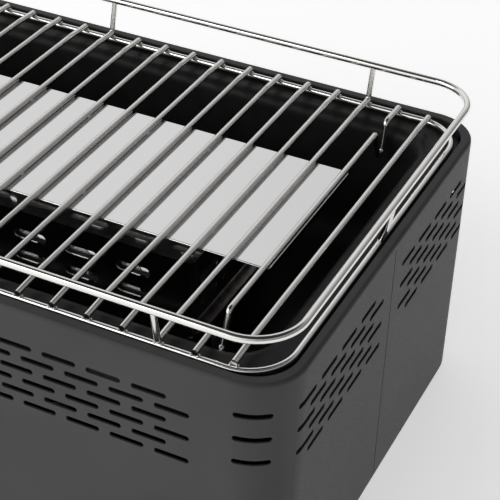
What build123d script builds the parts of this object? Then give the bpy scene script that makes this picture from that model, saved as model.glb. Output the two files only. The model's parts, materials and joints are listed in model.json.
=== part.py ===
from build123d import *
import math
import os

# A rectangular table-top hibachi: a vented casing, a lift-out fire bowl, a perforated charcoal basket
# and a rod grate with a raised guard rail and a drip plate. A battery fan in the base feeds the fire.
# Everything is modelled about the middle of the casing, at floor level, and shifted at export so that
# the origin is the middle of the whole footprint, knob included.

# ---------------------------------------------------------------- driving dimensions (millimetres)
BAR_PITCH = 23.0
BAR_COUNT = 23
BAR_R = 2.0
RIM_Z = 199.0                     # height of the casing's rim
BAR_Z = RIM_Z + 1.65              # axis height of the bar tips
BAR_CROWN = 1.0                   # the middle of each bar stands this much above its tips
TIP_LENGTH = 20.0                 # sloping end of each bar
BAR_HALF = 154.0                  # half the length of a bar
POST_BARS = (2, 11, 20)           # bars whose ends turn up and carry the guard rail
DIP_BARS = (1, 21)                # bars that dip to key the grate into the bowl

FRAME_R = 2.25
FRAME_HALF = (278.2, 153.0)
FRAME_CORNER = 30.0
FRAME_Z = BAR_Z - BAR_R - FRAME_R

RAIL_R = 2.5
RAIL_HALF = (284.7, 159.4)
RAIL_CORNER = 31.0
RAIL_Z = RIM_Z + 26.2
POST_R = 2.0

PLATE_HALF = (232.0, 62.0)
PLATE_SHEET = 0.6
PLATE_SKIRT = 3.6
PLATE_GAP = 0.35                  # the plate hangs this far under the bars, on weld nuggets
PLATE_TOP = BAR_Z + BAR_CROWN - BAR_R - PLATE_GAP

CASE_HALF = (289.4, 164.8)
CASE_CORNER = 32.0
CASE_BOTTOM = 4.0
CASE_TOP = RIM_Z
CASE_SHEET = 1.2
CASE_BEND = 2.6
LIP_HALF = (282.9, 157.7)
LIP_CORNER = 27.0
BASE_FLANGE = 14.0                # width of the flange turned in round the bottom
SEAM = 0.9
SEAM_TOP = CASE_TOP - 4.5

SLOT_LENGTH = 22.6
SLOT_HEIGHT = 3.8
SLOT_PITCH = 29.45
SLOT_ROW = 8.5
SLOT_ROWS = 6
SLOT_TOP_Z = CASE_TOP - 27.0
END_SLOT_LIFT = 2.0               # the end faces' rows sit this much higher
FRONT_FIRST_X = 206.85
FRONT_PER_ROW = 6
END_FIRST_Y = 129.0
CORNER_SLOT_ANGLE = 65.7

LEDGE_TOP = FRAME_Z - FRAME_R - 0.3
BOWL_SHEET = 1.2
LEDGE_HALF = (281.9, 156.7)
LEDGE_CORNER = 26.0
BOWL_HALF = (258.5, 133.0)        # inside of the bowl's wall
BOWL_CORNER = 24.0
BOWL_FLOOR = 96.2                 # upper face of the bowl's floor
SHOULDER_R = 8.0
FLOOR_R = 25.0
AIR_RING_R = 64.0
AIR_HOLE_R = 5.0
AIR_HOLES = 24

BASKET_HALF = (184.0, 67.0)
BASKET_CORNER = 6.0
BASKET_TOP = RIM_Z - 10.5
BASKET_BOTTOM = RIM_Z - 67.5
BASKET_SHEET = 1.0
HOLE_LENGTH = 24.0
HOLE_HEIGHT = 7.0
SIDE_HOLE_X = (28.8, 66.5, 104.2, 141.9)
END_HOLE_Y = (15.0, 45.0)
HOLE_ROWS = (RIM_Z - 27.0, RIM_Z - 43.5)
LINER_GAP = 2.5
LINER_SHEET = 0.8
LINER_SHIFT = 9.0                 # the liner's holes are this far off the wall's holes

KNOB_R = 17.0
KNOB_DEPTH = 16.0
KNOB_GAP = 0.6
KNOB_Z = 84.0
KNOB_SHAFT_R = 3.0

FAN_R = 40.0
FAN_DUCT_R = 82.0
MOTOR_R = 14.0
ROTOR_SHAFT_R = 1.5
RUNNING_GAP = 0.05

CELL_R = 7.1
CELL_LENGTH = 50.0
CELL_COUNT = 4
BATTERY_CENTRE_X = 180.0

FRONT_Y = -CASE_HALF[1]
INNER_FRONT_Y = FRONT_Y + CASE_SHEET
KNOB_FRONT_Y = FRONT_Y - KNOB_GAP - KNOB_DEPTH
EXPORT_SHIFT = -(KNOB_FRONT_Y - FRONT_Y) / 2
FLOOR_SHEET = 1.2
BASE_TOP = CASE_BOTTOM + CASE_SHEET + FLOOR_SHEET

os.makedirs("parts", exist_ok=True)


# ---------------------------------------------------------------- helpers
def save(name, shape):
    """Write one node, moved so that the origin is the middle of the footprint."""
    solids = shape.solids() if hasattr(shape, "solids") else [s for part in shape for s in part.solids()]
    export_step(Pos(0, EXPORT_SHIFT, 0) * Compound(children=solids), f"parts/{name}.step")


def slab(half, corner, low, high):
    """A block with rounded vertical corners between two heights."""
    outline = RectangleRounded(2 * half[0], 2 * half[1], corner)
    return Pos(0, 0, low) * extrude(outline, high - low)


def inset(half, amount):
    return (half[0] - amount, half[1] - amount)


def rod(points, radius, bends):
    """A round rod along straight runs joined by bends."""
    path = FilletPolyline(*points, radius=bends)
    section = Plane(origin=path @ 0, z_dir=path % 0) * Circle(radius)
    return sweep(section, path=path)


def rod_loop(half, corner, height, radius):
    """A closed rectangle of rod with round corners."""
    outline = RectangleRounded(2 * half[0], 2 * half[1], corner)
    path = (Pos(0, 0, height) * outline).wire()
    section = Plane(origin=path @ 0, z_dir=path % 0) * Circle(radius)
    return sweep(section, path=path)


def tube(outer, inner, low, high):
    return Pos(0, 0, low) * extrude(Circle(outer) - Circle(inner), high - low)


def disc(radius, low, high):
    return Pos(0, 0, low) * extrude(Circle(radius), high - low)


def mirrored(shape, plane):
    return [shape, mirror(shape, about=plane)]


def four_ways(x, y):
    return [(sx * x, sy * y) for sx in (1, -1) for sy in (1, -1)]


def bar_x(index):
    return ((BAR_COUNT - 1) / 2 - index) * BAR_PITCH


# ---------------------------------------------------------------- grate
def straight_bar(x, half):
    high = BAR_Z + BAR_CROWN
    inner = BAR_HALF - TIP_LENGTH
    points = [(x, -half, BAR_Z), (x, -inner, high), (x, inner, high), (x, half, BAR_Z)]
    return rod(points, BAR_R, 30)


def post_bar(x):
    """A bar whose two ends turn up and lean out to the rail."""
    high = BAR_Z + BAR_CROWN
    inner = BAR_HALF - TIP_LENGTH
    top = (RAIL_HALF[1], RAIL_Z)
    side = [(x, top[0], top[1]), (x, BAR_HALF, BAR_Z), (x, inner, high)]
    points = [(x, -y, z) for _, y, z in side] + list(reversed(side))
    return rod(points, BAR_R, [3, 30, 30, 3])


def dip_bar(x):
    """A bar with a U-shaped dip near each end."""
    high = BAR_Z + BAR_CROWN
    low = BAR_Z - 21.0
    side = [(x, BAR_HALF, BAR_Z), (x, 130.4, high), (x, 126.4, low), (x, 119.0, low), (x, 110.6, high)]
    points = [(x, -y, z) for _, y, z in side] + list(reversed(side))
    return rod(points, BAR_R, 3.2)


frame_loop = rod_loop(FRAME_HALF, FRAME_CORNER, FRAME_Z, FRAME_R)
rail_loop = rod_loop(RAIL_HALF, RAIL_CORNER, RAIL_Z, RAIL_R)

plain_bars = []
for index in range(BAR_COUNT):
    if index in POST_BARS or index in DIP_BARS:
        continue
    at_corner = index in (0, BAR_COUNT - 1)
    plain_bars += straight_bar(bar_x(index), BAR_HALF - (2.5 if at_corner else 0)).solids()

post_bars = [(post_bar(bar_x(index)) - rail_loop) - frame_loop for index in POST_BARS]
dip_bars = [dip_bar(bar_x(index)) for index in DIP_BARS]

end_post = rod([(FRAME_HALF[0], 0, FRAME_Z), ((FRAME_HALF[0] + RAIL_HALF[0]) / 2 + 0.4, 0, BAR_Z + 8),
                (RAIL_HALF[0], 0, RAIL_Z)], POST_R, 20) - frame_loop - rail_loop
end_post = max(end_post.solids(), key=lambda s: s.volume)

drip_plate = slab(PLATE_HALF, 3.0, PLATE_TOP - PLATE_SKIRT, PLATE_TOP)
end_edges = drip_plate.edges().group_by(Axis.Z)[-1].filter_by(Axis.Y)
drip_plate = fillet(end_edges, 0.8)
drip_plate -= Pos(0, 0, PLATE_TOP - PLATE_SHEET - 5) * Box(2 * (PLATE_HALF[0] - PLATE_SHEET), 400, 10)

nuggets = []
for index in range(3, BAR_COUNT - 3, 2):
    for y in (-42.0, 42.0):
        nuggets.append(Pos(bar_x(index), y, 0) * disc(1.6, PLATE_TOP, PLATE_TOP + PLATE_GAP + 0.6))
bar_stock = plain_bars + post_bars
plate_welds = [nugget - bar_stock for nugget in nuggets]

save("grate_frame", frame_loop)
save("guard_rail", rail_loop)
save("grate_bars", Compound(children=plain_bars))
save("grate_post_bars", [max(b.solids(), key=lambda s: s.volume) for b in post_bars])
save("grate_dip_bars", dip_bars)
save("guard_end_posts", mirrored(end_post, Plane.YZ))
save("drip_plate", drip_plate)
save("plate_welds", plate_welds)


# ---------------------------------------------------------------- casing
SCREW_SPOTS = four_ways(255.0, 154.5) + four_ways(120.0, 154.5)
FOOT_SPOTS = four_ways(225.0, 154.5)
fixing_holes = [Pos(x, y, 0) * disc(1.65, CASE_BOTTOM - 1, BASE_TOP + 1) for x, y in SCREW_SPOTS + FOOT_SPOTS]


def front_slots():
    """Prisms that run through the front and the back wall."""
    prisms = []
    for row in range(SLOT_ROWS):
        shift = SLOT_PITCH / 2 * (row % 2)
        for step in range(FRONT_PER_ROW):
            x = FRONT_FIRST_X + shift - SLOT_PITCH * step
            for side in (1, -1):
                place = Plane(origin=(side * x, 0, SLOT_TOP_Z - SLOT_ROW * row), x_dir=(1, 0, 0), z_dir=(0, 1, 0))
                prisms.append(extrude(place * SlotOverall(SLOT_LENGTH, SLOT_HEIGHT), 180, both=True))
    return prisms


def end_slots():
    """Prisms that run through both end walls, in two groups of four to a row."""
    prisms = []
    top = SLOT_TOP_Z + END_SLOT_LIFT
    for row in range(SLOT_ROWS):
        flip = -1 if row % 2 else 1
        for step in range(4):
            for y in (-END_FIRST_Y + SLOT_PITCH * step, END_FIRST_Y - SLOT_PITCH * (step + 0.5)):
                place = Plane(origin=(0, flip * y, top - SLOT_ROW * row), x_dir=(0, 1, 0), z_dir=(1, 0, 0))
                prisms.append(extrude(place * SlotOverall(SLOT_LENGTH, SLOT_HEIGHT), 300, both=True))
    return prisms


def corner_slots():
    """Three slots round each vertical corner, one on every other row."""
    prisms = []
    angle = math.radians(CORNER_SLOT_ANGLE)
    for cx, cy in four_ways(CASE_HALF[0] - CASE_CORNER, CASE_HALF[1] - CASE_CORNER):
        out = (math.copysign(math.cos(angle), cx), math.copysign(math.sin(angle), cy), 0)
        across = (-out[1], out[0], 0)
        for row in (0, 2, 4):
            place = Plane(origin=(cx, cy, SLOT_TOP_Z - SLOT_ROW * (row - 0.5)), x_dir=across, z_dir=out)
            prisms.append(extrude(place * SlotOverall(SLOT_LENGTH, SLOT_HEIGHT), CASE_CORNER + 5))
    return prisms


case_outer = slab(CASE_HALF, CASE_CORNER, CASE_BOTTOM, CASE_TOP)
case_outer = fillet(case_outer.edges().group_by(Axis.Z)[-1], CASE_BEND)
case_outer = fillet(case_outer.edges().group_by(Axis.Z)[0], 2.0)
case_inner = slab(inset(CASE_HALF, CASE_SHEET), CASE_CORNER - CASE_SHEET,
                  CASE_BOTTOM + CASE_SHEET, CASE_TOP - CASE_SHEET)
case_inner = fillet(case_inner.edges().group_by(Axis.Z)[-1], CASE_BEND - CASE_SHEET)
case_inner = fillet(case_inner.edges().group_by(Axis.Z)[0], 0.8)
outer_casing = case_outer - case_inner
outer_casing -= slab(LIP_HALF, LIP_CORNER, CASE_TOP - 9, CASE_TOP + 5)
outer_casing -= slab(inset(CASE_HALF, BASE_FLANGE), CASE_CORNER - BASE_FLANGE, 0, CASE_BOTTOM + 3)
outer_casing -= front_slots() + end_slots() + corner_slots()
seam_cut = Pos(0, 0, (CASE_BOTTOM + 3 + SEAM_TOP) / 2) * Box(2 * CASE_HALF[0] + 4, SEAM,
                                                             SEAM_TOP - CASE_BOTTOM - 3)
seam_cut -= Pos(0, 0, 100) * Box(2 * CASE_HALF[0] - 16, 10, 300)
outer_casing -= seam_cut
knob_hole = Plane(origin=(0, FRONT_Y + 4, KNOB_Z), z_dir=(0, -1, 0)) * Circle(4.1)
outer_casing -= extrude(knob_hole, 8)
outer_casing -= fixing_holes
save("outer_casing", outer_casing)

strip_x = CASE_HALF[0] - CASE_SHEET - 0.5
strip = Pos(strip_x, 0, 101) * Box(1.0, 24, 176)
save("seam_strips", mirrored(strip, Plane.YZ))

# ---------------------------------------------------------------- base plate, feet and screws
base_plate = slab(inset(CASE_HALF, CASE_SHEET + 1.2), CASE_CORNER - CASE_SHEET - 1.2,
                  CASE_BOTTOM + CASE_SHEET, BASE_TOP)
GRILLE_ROWS = [12.0 * step for step in range(-5, 6)]
grille_spots = [(x, y) for x in (-50.0, 0.0, 50.0) for y in GRILLE_ROWS if x or abs(y) > 30]
base_plate -= [Pos(x, y, 0) * extrude(SlotOverall(40, 4), 10) for x, y in grille_spots]
base_plate -= fixing_holes
save("base_plate", base_plate)


def round_screw(x, y, head_low, length, shank_r=1.6, head_r=3.2, head=1.6):
    """A pan-head screw standing point up, with a cross recess in its head."""
    body = disc(head_r, head_low, head_low + head) + disc(shank_r, head_low + head, head_low + head + length)
    body = fillet(body.edges().group_by(Axis.Z)[0], 0.6)
    cross = Box(3.2, 0.7, 0.9) + Box(0.7, 3.2, 0.9)
    return Pos(x, y, 0) * (body - Pos(0, 0, head_low + 0.45) * cross)


feet = []
for x, y in FOOT_SPOTS:
    foot = disc(8.0, 0, CASE_BOTTOM)
    foot = fillet(foot.edges().group_by(Axis.Z)[0], 1.2)
    stem = disc(1.6, CASE_BOTTOM, BASE_TOP)
    barb = disc(2.6, BASE_TOP, BASE_TOP + 2.4)
    feet.append(Pos(x, y, 0) * (foot + stem + barb))
save("rubber_feet", feet)
save("base_screws", [round_screw(x, y, CASE_BOTTOM - 1.6, 6.5) for x, y in SCREW_SPOTS])

# ---------------------------------------------------------------- fire bowl and what carries it
def bowl_brackets():
    """Angle brackets on the inside of the casing, just under the bowl's ledge."""
    top = LEDGE_TOP - BOWL_SHEET - 0.3
    wall_x = CASE_HALF[0] - CASE_SHEET
    wall_y = CASE_HALF[1] - CASE_SHEET
    brackets = []
    for x in (-180.0, 0.0, 180.0):
        upright = Pos(x, wall_y - 0.75, top - 11) * Box(26, 1.5, 22)
        shelf = Pos(x, wall_y - 7.5, top - 0.75) * Box(26, 15, 1.5)
        brackets += mirrored(upright + shelf, Plane.XZ)
    for y in (-70.0, 70.0):
        upright = Pos(wall_x - 0.75, y, top - 11) * Box(1.5, 26, 22)
        shelf = Pos(wall_x - 7.5, y, top - 0.75) * Box(15, 26, 1.5)
        brackets += mirrored(upright + shelf, Plane.YZ)
    return brackets


save("bowl_brackets", bowl_brackets())

under_ledge = LEDGE_TOP - BOWL_SHEET
wall = slab(inset(BOWL_HALF, -BOWL_SHEET), BOWL_CORNER + BOWL_SHEET, BOWL_FLOOR - BOWL_SHEET, under_ledge)
wall = fillet(wall.edges().group_by(Axis.Z)[0], FLOOR_R + BOWL_SHEET - 2)
bowl = wall + slab(LEDGE_HALF, LEDGE_CORNER, under_ledge, LEDGE_TOP)
neck = [e for e in bowl.edges().filter_by(lambda e: abs(e.center().Z - under_ledge) < 0.01
                                          and abs(e.center().X) <= BOWL_HALF[0] + BOWL_SHEET + 0.1
                                          and abs(e.center().Y) <= BOWL_HALF[1] + BOWL_SHEET + 0.1)]
bowl = fillet(neck, SHOULDER_R - BOWL_SHEET)
cavity = slab(BOWL_HALF, BOWL_CORNER, BOWL_FLOOR, LEDGE_TOP)
cavity = fillet(cavity.edges().group_by(Axis.Z)[0], FLOOR_R - 2)
bowl -= cavity
mouth = [e for e in bowl.edges().filter_by(lambda e: abs(e.center().Z - LEDGE_TOP) < 0.01
                                           and abs(e.center().X) <= BOWL_HALF[0] + 0.1
                                           and abs(e.center().Y) <= BOWL_HALF[1] + 0.1)]
bowl = fillet(mouth, SHOULDER_R)
for step in range(AIR_HOLES):
    turn = math.tau * step / AIR_HOLES
    hole = Pos(AIR_RING_R * math.cos(turn), AIR_RING_R * math.sin(turn), 0)
    bowl -= hole * disc(AIR_HOLE_R, BOWL_FLOOR - 4, BOWL_FLOOR + 4)
save("inner_bowl", bowl)

# ---------------------------------------------------------------- ignition tray
TRAY_R = 48.0
TRAY_LOW = BOWL_FLOOR + 0.3
tray = disc(TRAY_R, TRAY_LOW, TRAY_LOW + 14)
tray = fillet(tray.edges().group_by(Axis.Z)[0], 5.0)
hollow = disc(TRAY_R - 1.0, TRAY_LOW + 1, TRAY_LOW + 14)
hollow = fillet(hollow.edges().group_by(Axis.Z)[0], 4.0)
rim = tube(TRAY_R + 3, TRAY_R - 1, TRAY_LOW + 13, TRAY_LOW + 14)
save("ignition_tray", tray - hollow + rim)

# ---------------------------------------------------------------- charcoal basket
PAN_REACH = 4.5
PAN_CORNER = 10.0
PAN_RIM = 5.0

walls = slab(BASKET_HALF, BASKET_CORNER, BASKET_BOTTOM, BASKET_TOP)
walls -= slab(inset(BASKET_HALF, BASKET_SHEET), BASKET_CORNER - BASKET_SHEET,
              BASKET_BOTTOM + BASKET_SHEET, BASKET_TOP)
punches = []
for z in HOLE_ROWS:
    for x in SIDE_HOLE_X:
        for side in (1, -1):
            place = Plane(origin=(side * x, 0, z), x_dir=(1, 0, 0), z_dir=(0, 1, 0))
            punches.append(extrude(place * SlotOverall(HOLE_LENGTH, HOLE_HEIGHT), 100, both=True))
    for y in END_HOLE_Y:
        for side in (1, -1):
            place = Plane(origin=(0, side * y, z), x_dir=(0, 1, 0), z_dir=(1, 0, 0))
            punches.append(extrude(place * SlotOverall(HOLE_LENGTH, HOLE_HEIGHT), 200, both=True))
FLOOR_SLOT_X = [20.0 + 40.0 * step for step in range(4)]
for x in FLOOR_SLOT_X:
    for y in (-48.0, -32.0, -16.0, 0.0, 16.0, 32.0, 48.0):
        for side in (1, -1):
            punches.append(Pos(side * x, y, BASKET_BOTTOM - 1) * extrude(SlotOverall(30, 6), 4))
save("basket_walls", walls - punches)

liner_inset = BASKET_SHEET + LINER_GAP
liner = slab(inset(BASKET_HALF, liner_inset), 3.0, BASKET_BOTTOM + BASKET_SHEET, BASKET_TOP - 4)
liner -= slab(inset(BASKET_HALF, liner_inset + LINER_SHEET), 2.2, BASKET_BOTTOM, BASKET_TOP)
liner_punches = []
for z in HOLE_ROWS:
    for x in SIDE_HOLE_X:
        for side in (1, -1):
            place = Plane(origin=(side * (x + LINER_SHIFT), 0, z), x_dir=(1, 0, 0), z_dir=(0, 1, 0))
            liner_punches.append(extrude(place * SlotOverall(HOLE_LENGTH / 2, HOLE_HEIGHT - 2), 100, both=True))
save("basket_liner", liner - liner_punches)

pan_low = BASKET_BOTTOM - BASKET_SHEET
pan_half = (BASKET_HALF[0] + PAN_REACH, BASKET_HALF[1])
ash_pan = slab(pan_half, PAN_CORNER, pan_low, pan_low + PAN_RIM)
ash_pan = fillet(ash_pan.edges().group_by(Axis.Z)[0], 2.0)
ash_pan -= slab(inset(pan_half, BASKET_SHEET), PAN_CORNER - BASKET_SHEET, BASKET_BOTTOM, pan_low + PAN_RIM)
over_floor = (BASKET_BOTTOM + pan_low + PAN_RIM + 1) / 2
ash_pan -= Pos(0, 0, over_floor) * Box(2 * BASKET_HALF[0] + 0.6, 200, pan_low + PAN_RIM + 1 - BASKET_BOTTOM)
ash_pan -= [Pos(x, 0, pan_low - 1) * extrude(SlotOverall(60, 30), 4) for x in (-120.0, -40.0, 40.0, 120.0)]
save("ash_pan", ash_pan)

legs = []
for x, y in four_ways(172.0, 52.0):
    strap = Pos(x, y, (pan_low + TRAY_LOW) / 2) * Box(2.0, 18, pan_low - TRAY_LOW)
    toe = Pos(x - math.copysign(4.0, x), y, TRAY_LOW + 1) * Box(10, 18, 2.0)
    legs.append(strap + toe)
save("basket_legs", legs)

# ---------------------------------------------------------------- fan under the bowl
DUCT_LOW = 44.0
DUCT_TOP = BOWL_FLOOR - BOWL_SHEET - 0.4
DUCT_SHEET = 1.2
throat = FAN_R + 3.0

duct_profile = Polyline((throat, DUCT_LOW), (throat, DUCT_LOW + 18), (FAN_DUCT_R, DUCT_TOP - 8),
                        (FAN_DUCT_R, DUCT_TOP), (FAN_DUCT_R - DUCT_SHEET, DUCT_TOP),
                        (FAN_DUCT_R - DUCT_SHEET, DUCT_TOP - 7.2), (throat - DUCT_SHEET, DUCT_LOW + 19),
                        (throat - DUCT_SHEET, DUCT_LOW), close=True)
air_duct = revolve(Plane.XZ * make_face(duct_profile), Axis.Z)
save("air_duct", air_duct)

duct_legs = []
for turn in (45, 135, 225, 315):
    post = Pos(throat + 2.0, 0, (BASE_TOP + DUCT_LOW + 12) / 2) * Box(4.0, 10, DUCT_LOW + 12 - BASE_TOP)
    toe = Pos(throat + 8.0, 0, BASE_TOP + 1) * Box(16, 10, 2.0)
    duct_legs.append(Rot(0, 0, turn) * ((post + toe) - disc(throat, 0, 100)))
save("duct_legs", duct_legs)

MOTOR_LOW = BASE_TOP + 2.0
MOTOR_TOP = MOTOR_LOW + 28.0
cup = disc(26.0, BASE_TOP, MOTOR_LOW) + disc(MOTOR_R + 2, MOTOR_LOW, MOTOR_LOW + 16)
cup += [Rot(0, 0, turn) * Pos(20, 0, MOTOR_LOW + 4) * Box(9, 2, 8) for turn in (0, 90, 180, 270)]
cup -= disc(MOTOR_R + RUNNING_GAP, MOTOR_LOW, MOTOR_LOW + 20)
save("motor_cup", cup)

motor = disc(MOTOR_R, MOTOR_LOW, MOTOR_TOP)
motor = fillet(motor.edges().group_by(Axis.Z)[-1], 1.5)
motor += disc(5.0, MOTOR_TOP, MOTOR_TOP + 2)
motor -= disc(ROTOR_SHAFT_R + RUNNING_GAP, MOTOR_TOP - 14, MOTOR_TOP + 3)
save("fan_motor", motor)

BLADES = 9
HUB_LOW = MOTOR_TOP + 6.0
shaft = disc(ROTOR_SHAFT_R, MOTOR_TOP - 13.5, HUB_LOW + 14)
save("fan_shaft", shaft)
impeller = disc(7.0, HUB_LOW, HUB_LOW + 14) + disc(FAN_R - 1, HUB_LOW + 2, HUB_LOW + 3.4)
for step in range(BLADES):
    blade = Pos(23.5, 0, HUB_LOW + 9) * Rot(0, 0, 28) * Box(26, 1.2, 12)
    impeller += Rot(0, 0, 360 / BLADES * step) * blade
impeller &= disc(FAN_R, HUB_LOW, HUB_LOW + 20)
impeller -= disc(ROTOR_SHAFT_R, HUB_LOW - 1, HUB_LOW + 16)
save("fan_impeller", impeller)

# ---------------------------------------------------------------- speed control on the front
BUSH_R = 4.0
POT_HALF = 12.0
POT_DEPTH = 12.0
shaft_bore = KNOB_SHAFT_R + RUNNING_GAP


def front_disc(radius, y_from, y_to):
    """A round bar along Y on the knob's axis."""
    place = Plane(origin=(0, y_from, KNOB_Z), z_dir=(0, 1, 0))
    return extrude(place * Circle(radius), y_to - y_from)


pot = Pos(0, INNER_FRONT_Y + POT_DEPTH / 2, KNOB_Z) * Box(2 * POT_HALF, POT_DEPTH, 2 * POT_HALF)
pot = fillet(pot.edges().filter_by(Axis.Y), 3.0)
pot += front_disc(BUSH_R, FRONT_Y - 4.5, INNER_FRONT_Y)
pot -= front_disc(shaft_bore, FRONT_Y - 6, FRONT_Y + 9)
save("speed_control", pot)

nut_place = Plane(origin=(0, FRONT_Y - 2.4, KNOB_Z), z_dir=(0, 1, 0))
nut = extrude(nut_place * RegularPolygon(6.6, 6), 2.4) - front_disc(BUSH_R, FRONT_Y - 3, FRONT_Y + 1)
save("control_nut", nut)

knob_back = FRONT_Y - KNOB_GAP
knob = front_disc(KNOB_R, KNOB_FRONT_Y, knob_back)
knob = fillet(knob.edges().group_by(Axis.Y)[0], 1.8)
knob -= front_disc(KNOB_R - 2.5, knob_back - 6.5, knob_back + 1)
knob += front_disc(6.0, knob_back - 7, knob_back - 4.6)
knob -= front_disc(KNOB_SHAFT_R, KNOB_FRONT_Y + 3, knob_back)
GRIPS = 20
for step in range(GRIPS):
    turn = math.tau * (step + 0.5) / GRIPS
    groove = Plane(origin=(KNOB_R * math.sin(turn), KNOB_FRONT_Y - 1, KNOB_Z + KNOB_R * math.cos(turn)),
                   z_dir=(0, 1, 0))
    knob -= extrude(groove * Circle(0.9), KNOB_DEPTH - 3)
knob -= Pos(0, KNOB_FRONT_Y, KNOB_Z + 10) * Box(1.4, 1.2, 9)
save("control_knob", knob)
save("knob_shaft", front_disc(KNOB_SHAFT_R, KNOB_FRONT_Y + 3, FRONT_Y + 8.5))

# ---------------------------------------------------------------- battery box on the base plate
BOX_HALF = (34.0, 31.0)
BOX_TOP = BASE_TOP + 20.0
BOX_WALL = 2.0
HINGE_Y = BOX_HALF[1] + 3.5
HINGE_Z = BOX_TOP + 0.5
PIN_R = 1.0
BARREL_R = 2.4


def hinge_bar(radius, x_from, x_to):
    place = Plane(origin=(BATTERY_CENTRE_X + x_from, HINGE_Y, HINGE_Z), z_dir=(1, 0, 0))
    return extrude(place * Circle(radius), x_to - x_from)


def box_at(x, y, low, high, size_x, size_y):
    return Pos(BATTERY_CENTRE_X + x, y, (low + high) / 2) * Box(size_x, size_y, high - low)


battery_box = Pos(BATTERY_CENTRE_X, 0, 0) * slab(BOX_HALF, 3.0, BASE_TOP, BOX_TOP)
battery_box -= Pos(BATTERY_CENTRE_X, 0, 0) * slab(inset(BOX_HALF, BOX_WALL), 1.0, BASE_TOP + BOX_WALL, BOX_TOP)
for x_from, x_to in ((-30.0, -14.2), (14.2, 30.0)):
    ear = hinge_bar(BARREL_R, x_from, x_to)
    ear += box_at((x_from + x_to) / 2, HINGE_Y - 1.6, BOX_TOP - 7, HINGE_Z, x_to - x_from, 4.4)
    battery_box += ear - hinge_bar(PIN_R, x_from - 1, x_to + 1)
battery_box = max(battery_box.solids(), key=lambda s: s.volume)
save("battery_box", battery_box)
save("hinge_pin", hinge_bar(PIN_R, -30.0, 30.0))

lid = Pos(BATTERY_CENTRE_X, 0, 0) * slab(BOX_HALF, 3.0, BOX_TOP + 0.3, BOX_TOP + 2.3)
lid -= box_at(-22.1, BOX_HALF[1], BOX_TOP, BOX_TOP + 3, 17.0, 4.4)
lid -= box_at(22.1, BOX_HALF[1], BOX_TOP, BOX_TOP + 3, 17.0, 4.4)
lid += hinge_bar(BARREL_R, -13.8, 13.8) + box_at(0, HINGE_Y - 2.6, BOX_TOP + 0.9, BOX_TOP + 2.3, 27.6, 5.0)
lid += box_at(0, -BOX_HALF[1] - 1.5, BOX_TOP + 0.3, BOX_TOP + 2.3, 16, 4.0)
lid -= hinge_bar(PIN_R + RUNNING_GAP, -15.0, 15.0)
save("battery_lid", lid)

cells = []
caps = []
for step in range(CELL_COUNT):
    x = BATTERY_CENTRE_X + (step - (CELL_COUNT - 1) / 2) * (2 * CELL_R + 0.8)
    flip = 1 if step % 2 else -1
    place = Plane(origin=(x, -flip * CELL_LENGTH / 2, BASE_TOP + BOX_WALL + CELL_R), z_dir=(0, flip, 0))
    cell = extrude(place * Circle(CELL_R), CELL_LENGTH - 1.5)
    cells.append(cell + extrude(place * Circle(2.7), CELL_LENGTH))
    for end in (1, -1):
        strip_y = end * (BOX_HALF[1] - BOX_WALL - 0.2)
        caps.append(Pos(x, strip_y, BASE_TOP + BOX_WALL + 8) * Box(10, 0.4, 12))
save("battery_cells", cells)
save("battery_contacts", caps)

WIRE_R = 1.1
wire_z = BASE_TOP + WIRE_R
motor_wire = rod([(BATTERY_CENTRE_X - BOX_HALF[0] - 0.3, 0, wire_z + 4), (100, 6, wire_z + 1),
                  (60, 0, wire_z), (26.3, 0, wire_z)], WIRE_R, 20)
pot_back = INNER_FRONT_Y + POT_DEPTH
control_wire = rod([(0, pot_back, KNOB_Z), (0, pot_back + 12, KNOB_Z), (0, pot_back + 12, wire_z),
                    (0, -26.2, wire_z)], WIRE_R, 6)
save("wiring", [motor_wire, control_wire])
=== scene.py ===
import json
import math

import bmesh
import bpy
from mathutils import Matrix, Vector, noise


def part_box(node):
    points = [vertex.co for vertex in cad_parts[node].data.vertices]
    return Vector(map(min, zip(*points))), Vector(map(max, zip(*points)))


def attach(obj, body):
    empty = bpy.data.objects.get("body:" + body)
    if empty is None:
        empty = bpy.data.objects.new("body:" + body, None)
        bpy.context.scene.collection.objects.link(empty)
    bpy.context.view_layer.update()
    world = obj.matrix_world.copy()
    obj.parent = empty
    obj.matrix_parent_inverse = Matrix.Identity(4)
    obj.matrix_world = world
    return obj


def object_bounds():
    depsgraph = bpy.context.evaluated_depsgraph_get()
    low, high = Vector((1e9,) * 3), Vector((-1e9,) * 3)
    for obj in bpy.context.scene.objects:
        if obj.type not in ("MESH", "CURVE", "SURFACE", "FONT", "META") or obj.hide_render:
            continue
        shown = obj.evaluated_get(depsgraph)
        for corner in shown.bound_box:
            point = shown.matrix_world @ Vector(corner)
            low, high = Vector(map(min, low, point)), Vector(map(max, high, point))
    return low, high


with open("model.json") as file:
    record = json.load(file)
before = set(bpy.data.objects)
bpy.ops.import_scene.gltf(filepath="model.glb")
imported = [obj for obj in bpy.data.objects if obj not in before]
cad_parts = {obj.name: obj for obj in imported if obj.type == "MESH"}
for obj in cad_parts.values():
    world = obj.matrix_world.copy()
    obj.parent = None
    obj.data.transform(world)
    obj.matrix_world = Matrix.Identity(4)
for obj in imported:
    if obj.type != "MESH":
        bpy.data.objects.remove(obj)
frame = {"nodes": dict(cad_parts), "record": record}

# Looks for the table-top hibachi: finishes for every CAD node, the weld beads of the grate, the
# knob's pointer, a pale floor, a light tent with two softboxes, and the camera. Everything is in
# metres, in the CAD's frame.

CAD_BOUNDS = [list(corner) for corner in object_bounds()]
NODES = frame["nodes"]
MM = 0.001

BARS = 23
BARS_OUTSIDE_POSTS = 2            # bars between either end and the nearest pair of posts

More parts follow.
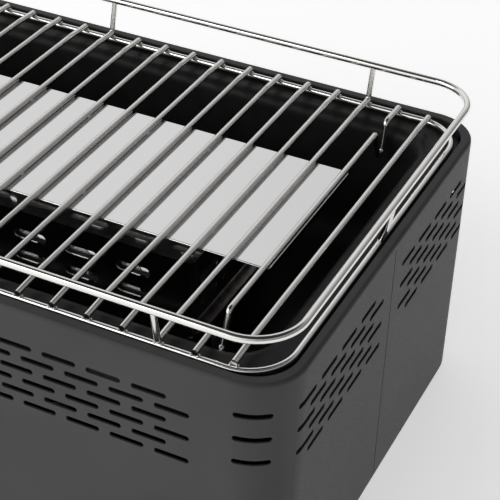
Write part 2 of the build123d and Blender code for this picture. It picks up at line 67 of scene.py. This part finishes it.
WELD_COLOUR = (0.8, 0.78, 0.75)
FRAME_WELD = (1.2 * MM, 1.9 * MM, 0.9 * MM)        # half sizes of the weld drops
POST_WELD = (2.1 * MM, 1.6 * MM, 0.9 * MM)
END_POST_WELD = (1.7 * MM, 2.3 * MM, 0.9 * MM)
END_FOOT_WELD = (1.7 * MM, 2.6 * MM, 0.9 * MM)
WELD_SPREAD = 1.05                # frame welds stand this many bar radii beside the bar's middle
FRAME_WELD_SINK = 0.1 * MM        # and this far under the top of the frame's rod
POST_WELD_RISE = 0.5 * MM         # above the underside of the rail
END_FOOT_SINK = 0.2 * MM
SHORT_BAR_SETBACK = 2.0 * MM      # the welds of the outermost bars sit this much further in
WELD_GRAIN = 1.7
WELD_ROUGHNESS = 0.22

FLOOR_SIZE = 14.0
FLOOR_DROP = 0.2 * MM             # the floor lies this far under the feet
# painted shadow: the floor's glow is switched off in a patch under the casing, and that patch ends this far
# inside the casing
FLOOR_SHADE_INSET = 35.0 * MM     # the unlit patch of floor ends this far inside the casing
FLOOR_GLOW = 0.56
RIGHT_LEVEL = 0.3                 # the tent's right side against its left
FRONT_LEVEL = 1.6                 # and its front against its back
TENT_FADES = (("X", -0.4, 0.5, 1.0, RIGHT_LEVEL), ("Y", -0.9, -0.1, FRONT_LEVEL, 1.0))
TENT_STOPS = [(0.0, 0.95), (0.06, 0.95), (0.09, 0.25), (0.16, 0.25), (0.2, 0.85), (0.45, 0.92), (0.68, 0.92),
              (0.74, 0.3), (0.84, 0.08), (1.0, 0.05)]

CAMERA_TURN = (24.60, 35.06, 2.22)                 # azimuth, elevation and roll in degrees
CAMERA_OFFSET = (0.5327, -0.7469)                  # from the casing's middle
CAMERA_HEIGHT = 0.7378
CAMERA_LENS = 111.7
CAMERA_SENSOR = 36.0


# ---------------------------------------------------------------- node helpers
class Finish:
    """A procedural material: a principled shader and small helpers to feed it."""

    def __init__(self, name, **values):
        self.material = bpy.data.materials.new(name)
        self.material.use_nodes = True
        self.tree = self.material.node_tree
        self.shader = self.tree.nodes["Principled BSDF"]
        self.coords = self.tree.nodes.new("ShaderNodeTexCoord").outputs["Object"]
        self.last_normal = None
        for socket, value in values.items():
            self.shader.inputs[socket.replace("_", " ")].default_value = value

    def node(self, kind, **settings):
        made = self.tree.nodes.new(kind)
        for key, value in settings.items():
            setattr(made, key, value)
        return made

    def link(self, source, target):
        self.tree.links.new(source, target)

    def stretched(self, scale):
        mapping = self.node("ShaderNodeMapping")
        mapping.inputs["Scale"].default_value = scale
        self.link(self.coords, mapping.inputs["Vector"])
        return mapping.outputs["Vector"]

    def noise(self, scale, detail, rough=0.5, vector=None):
        texture = self.node("ShaderNodeTexNoise")
        texture.inputs["Scale"].default_value = scale
        texture.inputs["Detail"].default_value = detail
        texture.inputs["Roughness"].default_value = rough
        self.link(vector or self.coords, texture.inputs["Vector"])
        return texture.outputs["Fac"]

    def cells(self, scale):
        texture = self.node("ShaderNodeTexVoronoi")
        texture.inputs["Scale"].default_value = scale
        self.link(self.coords, texture.inputs["Vector"])
        return texture.outputs["Color"]

    def ramp(self, factor, stops):
        ramp = self.node("ShaderNodeValToRGB")
        elements = ramp.color_ramp.elements
        while len(elements) < len(stops):
            elements.new(0.5)
        for element, (place, colour) in zip(elements, stops):
            element.position = place
            element.color = (*colour, 1.0)
        self.link(factor, ramp.inputs["Fac"])
        return ramp.outputs["Color"]

    def spread(self, factor, low, high, start=0.3, end=0.7):
        span = self.node("ShaderNodeMapRange")
        span.inputs["From Min"].default_value = start
        span.inputs["From Max"].default_value = end
        span.inputs["To Min"].default_value = low
        span.inputs["To Max"].default_value = high
        self.link(factor, span.inputs["Value"])
        return span.outputs["Result"]

    def colour(self, factor, dark, light, start=0.3, end=0.7):
        self.link(self.ramp(factor, [(start, dark), (end, light)]), self.shader.inputs["Base Color"])

    def roughness(self, factor, low, high):
        self.link(self.spread(factor, low, high), self.shader.inputs["Roughness"])

    def bump(self, height, distance, strength):
        bump = self.node("ShaderNodeBump")
        bump.inputs["Strength"].default_value = strength
        bump.inputs["Distance"].default_value = distance
        self.link(height, bump.inputs["Height"])
        if self.last_normal:
            self.link(self.last_normal, bump.inputs["Normal"])
        self.last_normal = bump.outputs["Normal"]
        self.link(self.last_normal, self.shader.inputs["Normal"])


def tint(colour, gain):
    return tuple(min(1.0, channel * gain) for channel in colour)


# ---------------------------------------------------------------- finishes
def powder_coat(name, colour):
    """Matte dark grey powder coat with a fine orange-peel grain."""
    finish = Finish(name, Specular_IOR_Level=0.15)
    finish.colour(finish.noise(18.0, 3.0), tint(colour, 0.67), tint(colour, 0.78))
    finish.roughness(finish.noise(900.0, 2.0), 0.42, 0.54)
    finish.bump(finish.noise(1600.0, 3.0, 0.6), 0.00012, 0.35)
    return finish.material


def enamel(name, colour):
    """Heat-proof satin enamel, slightly uneven, with fine specks."""
    finish = Finish(name, Specular_IOR_Level=0.12)
    finish.colour(finish.noise(60.0, 6.0, 0.6), tint(colour, 0.6), tint(colour, 0.9))
    finish.roughness(finish.noise(140.0, 4.0), 0.34, 0.46)
    finish.bump(finish.noise(900.0, 3.0), 0.0001, 0.3)
    return finish.material


def bright_rod(name, colour):
    """Electropolished rod: nearly a mirror, with faint drawing marks."""
    finish = Finish(name, Metallic=1.0)
    finish.colour(finish.noise(40.0, 3.0), tint(colour, 0.96), tint(colour, 1.03))
    finish.roughness(finish.noise(500.0, 4.0), 0.03, 0.07)
    finish.bump(finish.noise(700.0, 2.0), 0.00003, 0.25)
    return finish.material


def satin_bar(name, colour):
    """Satin-drawn bars: fine lines along the bar, which runs along Y."""
    finish = Finish(name, Metallic=1.0)
    along = finish.stretched((1.0, 0.02, 1.0))
    finish.colour(finish.noise(30.0, 4.0), tint(colour, 1.08), tint(colour, 1.18))
    finish.roughness(finish.noise(900.0, 3.0, vector=along), 0.14, 0.24)
    finish.bump(finish.noise(1200.0, 2.0, vector=along), 0.00001, 0.3)
    return finish.material


def rolled_mirror(finish):
    """The surface of thin mirror-polished sheet, rolled along X and never quite flat."""
    rolled = finish.stretched((0.05, 1.0, 1.0))
    finish.roughness(finish.noise(1800.0, 3.0, vector=rolled), 0.04, 0.09)
    finish.bump(finish.noise(11.0, 1.0), 0.0007, 0.5)
    finish.bump(finish.noise(2200.0, 2.0, vector=rolled), 0.00001, 0.3)


def polished_sheet(name, colour):
    """Mirror-polished stainless sheet."""
    finish = Finish(name, Metallic=1.0)
    finish.colour(finish.noise(9.0, 3.0), tint(colour, 0.97), tint(colour, 1.02))
    rolled_mirror(finish)
    return finish.material


def plate_with_painted_edge_shade(name, colour):
    """The drip plate: polished faces, and painted shade on its edges and underside, darkened by which way
    each face turns.
    """
    finish = Finish(name, Metallic=1.0)
    edge_shade_facing = finish.node("ShaderNodeSeparateXYZ")
    finish.link(finish.node("ShaderNodeNewGeometry").outputs["True Normal"], edge_shade_facing.inputs["Vector"])
    # painted shade: the colour darkens to an eighth as the true normal turns away from up
    finish.colour(edge_shade_facing.outputs["Z"], tint(colour, 0.12), tint(colour, 0.96), 0.2, 0.7)
    rolled_mirror(finish)
    return finish.material


def heat_tinted(name, colour):
    """Sheet browned by the fire, with uneven straw and grey patches."""
    finish = Finish(name, Metallic=1.0)
    finish.colour(finish.noise(45.0, 5.0, 0.6), (0.16, 0.125, 0.1), tint(colour, 0.6))
    finish.roughness(finish.noise(200.0, 4.0), 0.3, 0.48)
    finish.bump(finish.noise(500.0, 3.0), 0.00004, 0.4)
    return finish.material


def painted_shade_steel(name, colour):
    """The hidden brackets painted near black as shade, so that they show only as a dark ground behind the
    slots.
    """
    finish = Finish(name, Specular_IOR_Level=0.1)
    # painted shade: the brackets' own colour is cut to a tenth so they read as the dark inside of the casing
    finish.colour(finish.noise(120.0, 5.0, 0.6), tint(colour, 0.07), tint(colour, 0.14))
    finish.roughness(finish.noise(300.0, 3.0), 0.5, 0.68)
    finish.bump(finish.noise(800.0, 3.0), 0.00006, 0.4)
    return finish.material


def brushed_steel(name, colour):
    """Plain stainless sheet with short brush marks along X."""
    finish = Finish(name, Metallic=1.0)
    brushed = finish.stretched((0.03, 1.0, 1.0))
    marks = finish.noise(1500.0, 4.0, 0.6, vector=brushed)
    finish.colour(marks, tint(colour, 0.88), tint(colour, 1.1))
    finish.roughness(finish.noise(300.0, 3.0), 0.28, 0.42)
    finish.bump(marks, 0.00004, 0.4)
    return finish.material


def zinc_plate(name, colour):
    """Galvanised steel with a faint spangle."""
    finish = Finish(name, Metallic=0.9)
    finish.colour(finish.cells(160.0), tint(colour, 0.85), tint(colour, 1.12))
    finish.roughness(finish.noise(220.0, 4.0), 0.34, 0.5)
    finish.bump(finish.noise(600.0, 3.0), 0.00005, 0.3)
    return finish.material


def moulded_plastic(name, colour):
    """Moulded black plastic with a fine spark-eroded grain."""
    finish = Finish(name, Specular_IOR_Level=0.4)
    finish.colour(finish.noise(35.0, 3.0), tint(colour, 0.9), tint(colour, 1.12))
    finish.roughness(finish.noise(400.0, 2.0), 0.42, 0.56)
    finish.bump(finish.noise(1800.0, 2.0), 0.00008, 0.5)
    return finish.material


def soft_rubber(name, colour):
    """Dull rubber with a slight bloom."""
    finish = Finish(name, Specular_IOR_Level=0.25)
    finish.colour(finish.noise(90.0, 5.0), tint(colour, 0.8), tint(colour, 1.4))
    finish.roughness(finish.noise(250.0, 3.0), 0.7, 0.85)
    finish.bump(finish.noise(1100.0, 3.0), 0.0001, 0.4)
    return finish.material


def printed_jacket(name, colour):
    """A cell's shrink-wrapped jacket: two bands of colour along Y."""
    finish = Finish(name, Coat_Weight=0.6, Coat_Roughness=0.1)
    axes = finish.node("ShaderNodeSeparateXYZ")
    finish.link(finish.coords, axes.inputs["Vector"])
    low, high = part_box("battery_cells")
    height = finish.spread(axes.outputs["Y"], 0.0, 1.0, low.y, high.y)
    bare = (0.42, 0.42, 0.43)
    ramp = finish.ramp(height, [(0.0, bare), (0.12, colour), (0.66, tint(colour, 0.2)), (0.9, bare)])
    finish.link(ramp, finish.shader.inputs["Base Color"])
    finish.roughness(finish.noise(200.0, 3.0), 0.25, 0.38)
    return finish.material


def bead(name, colour):
    """Weld metal: bright, lumpy, with heat tint."""
    finish = Finish(name, Metallic=1.0)
    finish.colour(finish.noise(700.0, 5.0), tint(colour, 0.62), colour)
    finish.roughness(finish.noise(900.0, 4.0), 0.08, 0.22)
    finish.bump(finish.noise(1500.0, 3.0), 0.0002, 0.6)
    return finish.material


MAKERS = {
    "casing_paint": powder_coat,
    "bowl_enamel": enamel,
    "bright_rod": bright_rod,
    "satin_bar": satin_bar,
    "polished_sheet": polished_sheet,
    "sheet_steel": brushed_steel,
    "zinc_steel": zinc_plate,
    "rubber": soft_rubber,
    "black_plastic": moulded_plastic,
    "cell_jacket": printed_jacket,
    "contact": brushed_steel,
}
SPECIAL = {
    "drip_plate": plate_with_painted_edge_shade,
    "ash_pan": heat_tinted,
    "basket_legs": heat_tinted,
    "bowl_brackets": painted_shade_steel,
}


def dress_nodes():
    """Give every CAD node the finish of its slot in the record, or its own special one."""
    colours = {m["slot"]: tuple(m["base_color"][:3]) for m in frame["record"]["materials"]}
    finishes = {slot: MAKERS[slot](slot, colour) for slot, colour in colours.items()}
    for part in frame["record"]["subparts"]:
        mesh = NODES[part["node"]].data
        mesh.materials.clear()
        maker = SPECIAL.get(part["node"])
        slot = part["material_slot"]
        mesh.materials.append(maker(part["node"] + "_finish", colours[slot]) if maker else finishes[slot])


# ---------------------------------------------------------------- grate measures, from the CAD
def bar_places():
    """The x of each bar and the bars' radius."""
    low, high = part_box("grate_bars")
    inner_low, inner_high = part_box("grate_post_bars")
    pitch = ((high.x - low.x) - (inner_high.x - inner_low.x)) / (2 * BARS_OUTSIDE_POSTS)
    radius = (high.x - low.x - (BARS - 1) * pitch) / 2
    return [low.x + radius + pitch * step for step in range(BARS)], radius


def lump(shape, place, size, seed):
    """A drop of weld metal: a sphere squashed to size and roughened."""
    made = bmesh.ops.create_icosphere(shape, subdivisions=2, radius=1.0)
    matrix = Matrix.Translation(place) @ Matrix.Diagonal((*size, 1.0))
    for vertex in made["verts"]:
        rough = noise.noise(vertex.co * WELD_GRAIN + Vector((seed, 0.0, 0.0)))
        vertex.co = matrix @ (vertex.co * (1.0 + WELD_ROUGHNESS * rough))


def mesh_piece(name, shape, material, body):
    """Turn a finished shape into a piece that rides on a body."""
    mesh = bpy.data.meshes.new(name)
    for face in shape.faces:
        face.smooth = True
    shape.to_mesh(mesh)
    shape.free()
    piece = bpy.data.objects.new(name, mesh)
    bpy.context.scene.collection.objects.link(piece)
    mesh.materials.append(material)
    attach(piece, body)


def frame_welds(material):
    """Small fillets of weld on both sides of each bar where it lies on the frame rod."""
    places, bar_r = bar_places()
    low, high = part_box("grate_frame")
    rod_r = (high.z - low.z) / 2
    middle = (low.y + high.y) / 2
    reach = (high.y - low.y) / 2 - rod_r
    shape = bmesh.new()
    for index, x in enumerate(places):
        back = SHORT_BAR_SETBACK if index in (0, len(places) - 1) else 0.0
        for end in (-1, 1):
            for side in (-1, 1):
                weld_x = x + side * bar_r * WELD_SPREAD
                place = Vector((weld_x, middle + end * (reach - back), high.z - FRAME_WELD_SINK))
                lump(shape, place, FRAME_WELD, index * 4 + end + side)
    mesh_piece("frame_welds", shape, material, "grate")


def rail_welds(material):
    """Weld collars where the posts meet the rail, and the end posts meet the frame."""
    low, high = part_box("guard_rail")
    rail_r = (high.z - low.z) / 2
    posts_low, posts_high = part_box("grate_post_bars")
    middle = (low.y + high.y) / 2
    centre_x = (low.x + high.x) / 2
    bar_r = bar_places()[1]
    weld_z = low.z + POST_WELD_RISE
    shape = bmesh.new()
    for x in (posts_low.x + bar_r, centre_x, posts_high.x - bar_r):
        for end in (-1, 1):
            y = middle + end * ((high.y - low.y) / 2 - rail_r)
            lump(shape, Vector((x, y, weld_z)), POST_WELD, x * 40 + end)
    frame_low, frame_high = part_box("grate_frame")
    for end in (-1, 1):
        x = centre_x + end * ((high.x - low.x) / 2 - rail_r)
        lump(shape, Vector((x, middle, weld_z)), END_POST_WELD, end * 7)
        x = centre_x + end * ((frame_high.x - frame_low.x) / 2 - rail_r * 0.9)
        lump(shape, Vector((x, middle, frame_high.z - END_FOOT_SINK)), END_FOOT_WELD, end * 9)
    mesh_piece("rail_welds", shape, material, "grate")


def knob_pointer():
    """A white inlay in the groove of the knob, drawn as a slightly crowned bar with round ends."""
    low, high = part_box("control_knob")
    centre_x, centre_z = (low.x + high.x) / 2, (low.z + high.z) / 2
    shape = bmesh.new()
    half_width, half_length, depth = 0.6 * MM, 4.2 * MM, 0.35 * MM
    sunk, above_centre = 0.55 * MM, 10.0 * MM
    sides = 24
    rings = []
    for level, scale in ((0.0, 1.0), (0.7, 0.9), (1.0, 0.55)):
        ring = []
        for step in range(sides):
            turn = math.tau * step / sides
            along = math.copysign(half_length - half_width, math.cos(turn))
            x = centre_x + half_width * scale * math.sin(turn)
            z = centre_z + above_centre + along + half_width * scale * math.cos(turn)
            ring.append(shape.verts.new((x, low.y + sunk - depth * level, z)))
        rings.append(ring)
    for inner, outer in zip(rings, rings[1:]):
        for step in range(sides):
            after = (step + 1) % sides
            shape.faces.new((inner[step], inner[after], outer[after], outer[step]))
    shape.faces.new(rings[-1])
    shape.faces.new(list(reversed(rings[0])))
    bmesh.ops.recalc_face_normals(shape, faces=shape.faces)
    finish = Finish("pointer_paint", Specular_IOR_Level=0.4)
    finish.colour(finish.noise(400.0, 4.0), (0.62, 0.62, 0.6), (0.78, 0.78, 0.76))
    finish.roughness(finish.noise(600.0, 3.0), 0.4, 0.55)
    finish.bump(finish.noise(1500.0, 3.0), 0.00005, 0.4)
    mesh_piece("knob_pointer", shape, finish.material, "knob")


# ---------------------------------------------------------------- studio
def floor_glow(finish):
    """The floor's own light, cut into a painted shadow: none under the casing, growing with the distance
    from it.
    """
    low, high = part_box("outer_casing")
    middle = (low + high) / 2
    half = (high - low) / 2 - Vector((FLOOR_SHADE_INSET, FLOOR_SHADE_INSET, 0.0))

    def maths(operation, left, right):
        made = finish.node("ShaderNodeVectorMath", operation=operation)
        finish.link(left, made.inputs[0])
        made.inputs[1].default_value = right
        return made.outputs["Vector"]

    offset = maths("SUBTRACT", finish.coords, (middle.x, middle.y, 0.0))
    sides = finish.node("ShaderNodeVectorMath", operation="ABSOLUTE")
    finish.link(offset, sides.inputs[0])
    past_sides = maths("SUBTRACT", sides.outputs["Vector"], (half.x, half.y, 0.0))
    outside = maths("MAXIMUM", past_sides, (0.0, 0.0, 0.0))
    length = finish.node("ShaderNodeVectorMath", operation="LENGTH")
    finish.link(outside, length.inputs[0])
    # painted shadow: the glow is zero under the middle of the casing, climbs to nine tenths within 15 mm and
    # to full only 35 cm out, a painted contact shadow
    painted_shadow_ramp = finish.ramp(length.outputs["Value"], [(0.0, (0.0, 0.0, 0.0)), (0.015, (0.91, 0.91, 0.91)),
                                                 (0.35, (1.0, 1.0, 1.0))])
    return finish.spread(painted_shadow_ramp, 0.0, FLOOR_GLOW, 0.0, 1.0)


def floor():
    """A wide pale floor with a light of its own, and a painted shadow where that light fades around the
    casing.
    """
    bpy.ops.mesh.primitive_plane_add(size=FLOOR_SIZE, location=(0.0, 0.0, CAD_BOUNDS[0][2] - FLOOR_DROP))
    plane = bpy.context.object
    plane.name = "studio_floor"
    finish = Finish("studio_floor", Roughness=0.7, Specular_IOR_Level=0.2)
    finish.colour(finish.noise(3.0, 2.0), (0.90, 0.90, 0.90), (0.92, 0.92, 0.92))
    finish.shader.inputs["Emission Color"].default_value = (1.0, 1.0, 1.0, 1.0)
    finish.link(floor_glow(finish), finish.shader.inputs["Emission Strength"])
    plane.data.materials.append(finish.material)


def surround():
    """A light tent: bright at the sides, with a dark band low down and a dark top."""
    world = bpy.data.worlds.new("light_tent")
    world.use_nodes = True
    bpy.context.scene.world = world
    nodes, links = world.node_tree.nodes, world.node_tree.links
    background = nodes["Background"]
    coords = nodes.new("ShaderNodeTexCoord")
    axes = nodes.new("ShaderNodeSeparateXYZ")
    ramp = nodes.new("ShaderNodeValToRGB")
    links.new(coords.outputs["Generated"], axes.inputs["Vector"])
    links.new(axes.outputs["Z"], ramp.inputs["Fac"])
    colour = ramp.outputs["Color"]
    for axis, start, end, first, last in TENT_FADES:
        shade = nodes.new("ShaderNodeMapRange")
        for socket, value in (("From Min", start), ("From Max", end), ("To Min", first), ("To Max", last)):
            shade.inputs[socket].default_value = value
        links.new(axes.outputs[axis], shade.inputs["Value"])
        gain = nodes.new("ShaderNodeVectorMath")
        gain.operation = "SCALE"
        links.new(colour, gain.inputs[0])
        links.new(shade.outputs["Result"], gain.inputs["Scale"])
        colour = gain.outputs["Vector"]
    links.new(colour, background.inputs["Color"])
    elements = ramp.color_ramp.elements
    while len(elements) < len(TENT_STOPS):
        elements.new(0.5)
    for element, (place, value) in zip(elements, TENT_STOPS):
        element.position = place
        element.color = (value, value, value, 1.0)
    background.inputs["Strength"].default_value = 1.0


def softbox(name, place, aim, width, height, power):
    """A rectangular lamp at a place, turned to face its aim."""
    light = bpy.data.lights.new(name, "AREA")
    light.shape = "RECTANGLE"
    light.size = width
    light.size_y = height
    light.energy = power
    holder = bpy.data.objects.new(name, light)
    bpy.context.scene.collection.objects.link(holder)
    holder.location = place
    holder.rotation_euler = (Vector(aim) - Vector(place)).to_track_quat("-Z", "Y").to_euler()


def camera():
    """Long lens from the front right, looking down at the grate."""
    azimuth, elevation, roll = (math.radians(angle) for angle in CAMERA_TURN)
    forward = Vector((-math.sin(azimuth) * math.cos(elevation), math.cos(azimuth) * math.cos(elevation),
                      -math.sin(elevation)))
    level = Vector((math.cos(azimuth), math.sin(azimuth), 0.0))
    upright = level.cross(forward)
    right = level * math.cos(roll) + upright * math.sin(roll)
    up = right.cross(forward)
    casing_low, casing_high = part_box("outer_casing")
    middle = (casing_low + casing_high) / 2
    data = bpy.data.cameras.new("camera")
    data.lens = CAMERA_LENS
    data.sensor_width = CAMERA_SENSOR
    holder = bpy.data.objects.new("camera", data)
    turn = Matrix((right, up, -forward)).transposed()
    place = (middle.x + CAMERA_OFFSET[0], middle.y + CAMERA_OFFSET[1], CAMERA_HEIGHT)
    holder.matrix_world = Matrix.Translation(place) @ turn.to_4x4()
    bpy.context.scene.collection.objects.link(holder)
    bpy.context.scene.camera = holder


bpy.context.scene.view_settings.view_transform = "Standard"
camera()
dress_nodes()
WELD = bead("weld_metal", WELD_COLOUR)
frame_welds(WELD)
rail_welds(WELD)
knob_pointer()
floor()
surround()
softbox("left_softbox", place=(-1.6, -1.4, 0.9), aim=(0.0, 0.0, 0.1), width=1.6, height=1.2, power=12.0)
softbox("top_softbox", place=(-0.75, -1.25, 1.65), aim=(0.0, 0.0, 0.15), width=0.5, height=0.5, power=3.0)
